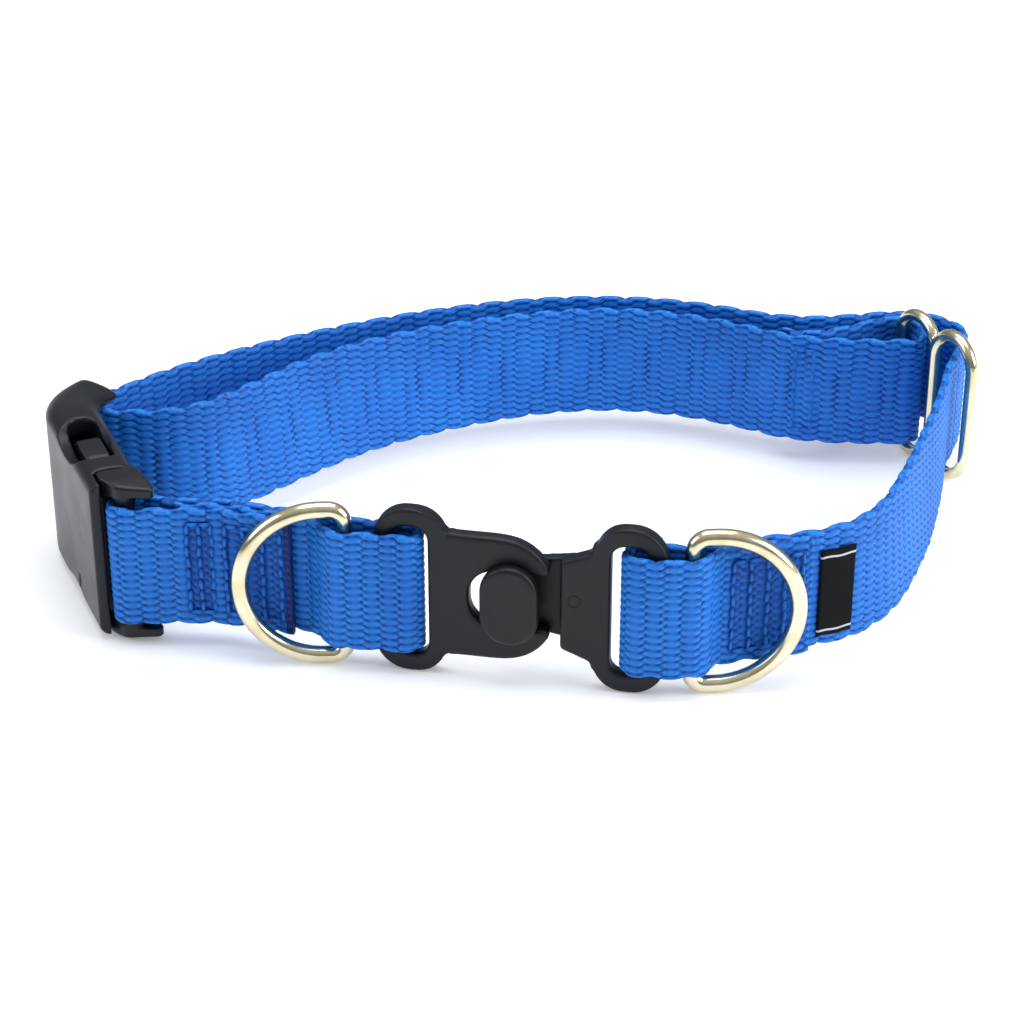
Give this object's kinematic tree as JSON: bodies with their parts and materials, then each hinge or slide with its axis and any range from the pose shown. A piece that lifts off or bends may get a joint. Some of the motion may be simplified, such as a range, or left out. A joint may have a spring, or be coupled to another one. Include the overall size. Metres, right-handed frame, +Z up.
{
  "type": "breakaway dog collar",
  "caption": "Adjustable woven webbing dog collar with a side-release buckle and a two-piece breakaway buckle between two D-rings, closed loop standing on edge.",
  "frame": {"origin": "centre of the closed collar's outline on the surface it stands on", "axes": "+Z up across the webbing's width, -Y towards the breakaway buckle at the front, +X towards the slider, -X towards the side-release buckle"},
  "size_m": [0.1996, 0.1278, 0.036],
  "materials": {
    "webbing": "bright blue woven nylon, satin yarn",
    "thread": "blue bonded nylon thread",
    "label": "black woven label",
    "gold_metal": "pale gold plate, polished",
    "black_plastic": "black moulded nylon, satin",
    "buckle_plastic": "black moulded acetal, fine texture, satin"
  },
  "bodies": {
    "collar": {"main_webbing_back": "webbing", "main_webbing_front": "webbing", "left_webbing": "webbing", "buckle_male_base": "buckle_plastic", "breakaway_receiver": "black_plastic", "left_stitches_buckle_end": "thread", "left_stitches_ring_end": "thread", "slider_stitches": "thread", "slider": "gold_metal"},
    "buckle_shell": {"buckle_female": "buckle_plastic"},
    "release_prong_upper": {"prong_upper": "buckle_plastic"},
    "release_prong_lower": {"prong_lower": "buckle_plastic"},
    "breakaway_post": {"breakaway_post_half": "black_plastic", "right_stitches": "thread", "woven_label": "label"},
    "leash_d_left": {"d_ring_left": "gold_metal"},
    "leash_d_right": {"d_ring_right": "gold_metal"}
  },
  "joints": [
    {"name": "side_buckle_unclip", "type": "slide", "parent": "collar", "child": "buckle_shell", "axis": [-0.3827, 0.9239, 0], "range_m": [0, 0.028], "deforming": ["main_webbing_back", "prong_upper", "prong_lower"]},
    {"name": "press_prong_upper", "type": "hinge", "parent": "collar", "child": "release_prong_upper", "pos_m": [-0.08267, -0.03215, 0.0278], "axis": [-0.9239, -0.3827, 0], "range_deg": [0, 7], "stiffness_Nm_per_rad": 0.05},
    {"name": "press_prong_lower", "type": "hinge", "parent": "collar", "child": "release_prong_lower", "pos_m": [-0.08267, -0.03215, 0.0082], "axis": [0.9239, 0.3827, 0], "range_deg": [0, 7], "stiffness_Nm_per_rad": 0.05},
    {"name": "breakaway_release", "type": "slide", "parent": "collar", "child": "breakaway_post", "axis": [0.9806, -0.1961, 0], "range_m": [0, 0.024], "deforming": ["main_webbing_front"]},
    {"name": "leash_d_left_swing", "type": "hinge", "parent": "collar", "child": "leash_d_left", "pos_m": [-0.0352, -0.04832, 0.018], "axis": [0, 0, 1], "range_deg": [0, 110]},
    {"name": "leash_d_right_swing", "type": "hinge", "parent": "breakaway_post", "child": "leash_d_right", "pos_m": [0.0317, -0.05972, 0.018], "axis": [0, 0, -1], "range_deg": [0, 110]}
  ]
}
